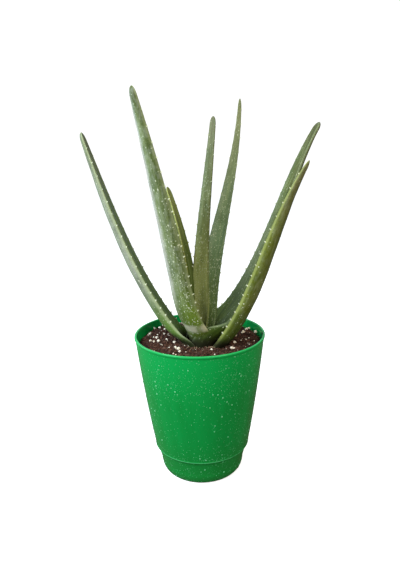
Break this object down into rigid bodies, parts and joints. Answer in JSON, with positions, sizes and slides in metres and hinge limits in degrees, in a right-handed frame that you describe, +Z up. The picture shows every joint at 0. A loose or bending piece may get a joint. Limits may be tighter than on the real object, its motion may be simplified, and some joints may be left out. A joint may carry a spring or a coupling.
{
  "type": "potted aloe plant",
  "caption": "Young toothed-leaf aloe growing in soil in a round tapered plastic pot with a clip-on water tray; stands on a flat surface.",
  "frame": {"origin": "middle of the water tray's flat underside", "axes": "+Z up along the pot's axis; the pictured side faces -Y, with +X to the right"},
  "size_m": [0.2263, 0.125, 0.3607],
  "materials": {
    "pot_plastic": "gloss",
    "soil": "matte",
    "stem": "matte",
    "leaf": "satin"
  },
  "bodies": {
    "root": {"pot_body": "pot_plastic", "water_tray": "pot_plastic", "stem": "stem", "leaf_middle": "leaf", "leaf_middle_right": "leaf", "leaf_left_back": "leaf", "leaf_left": "leaf", "leaf_right_back": "leaf", "leaf_far_left": "leaf", "leaf_far_right": "leaf", "soil": "soil"}
  },
  "joints": []
}
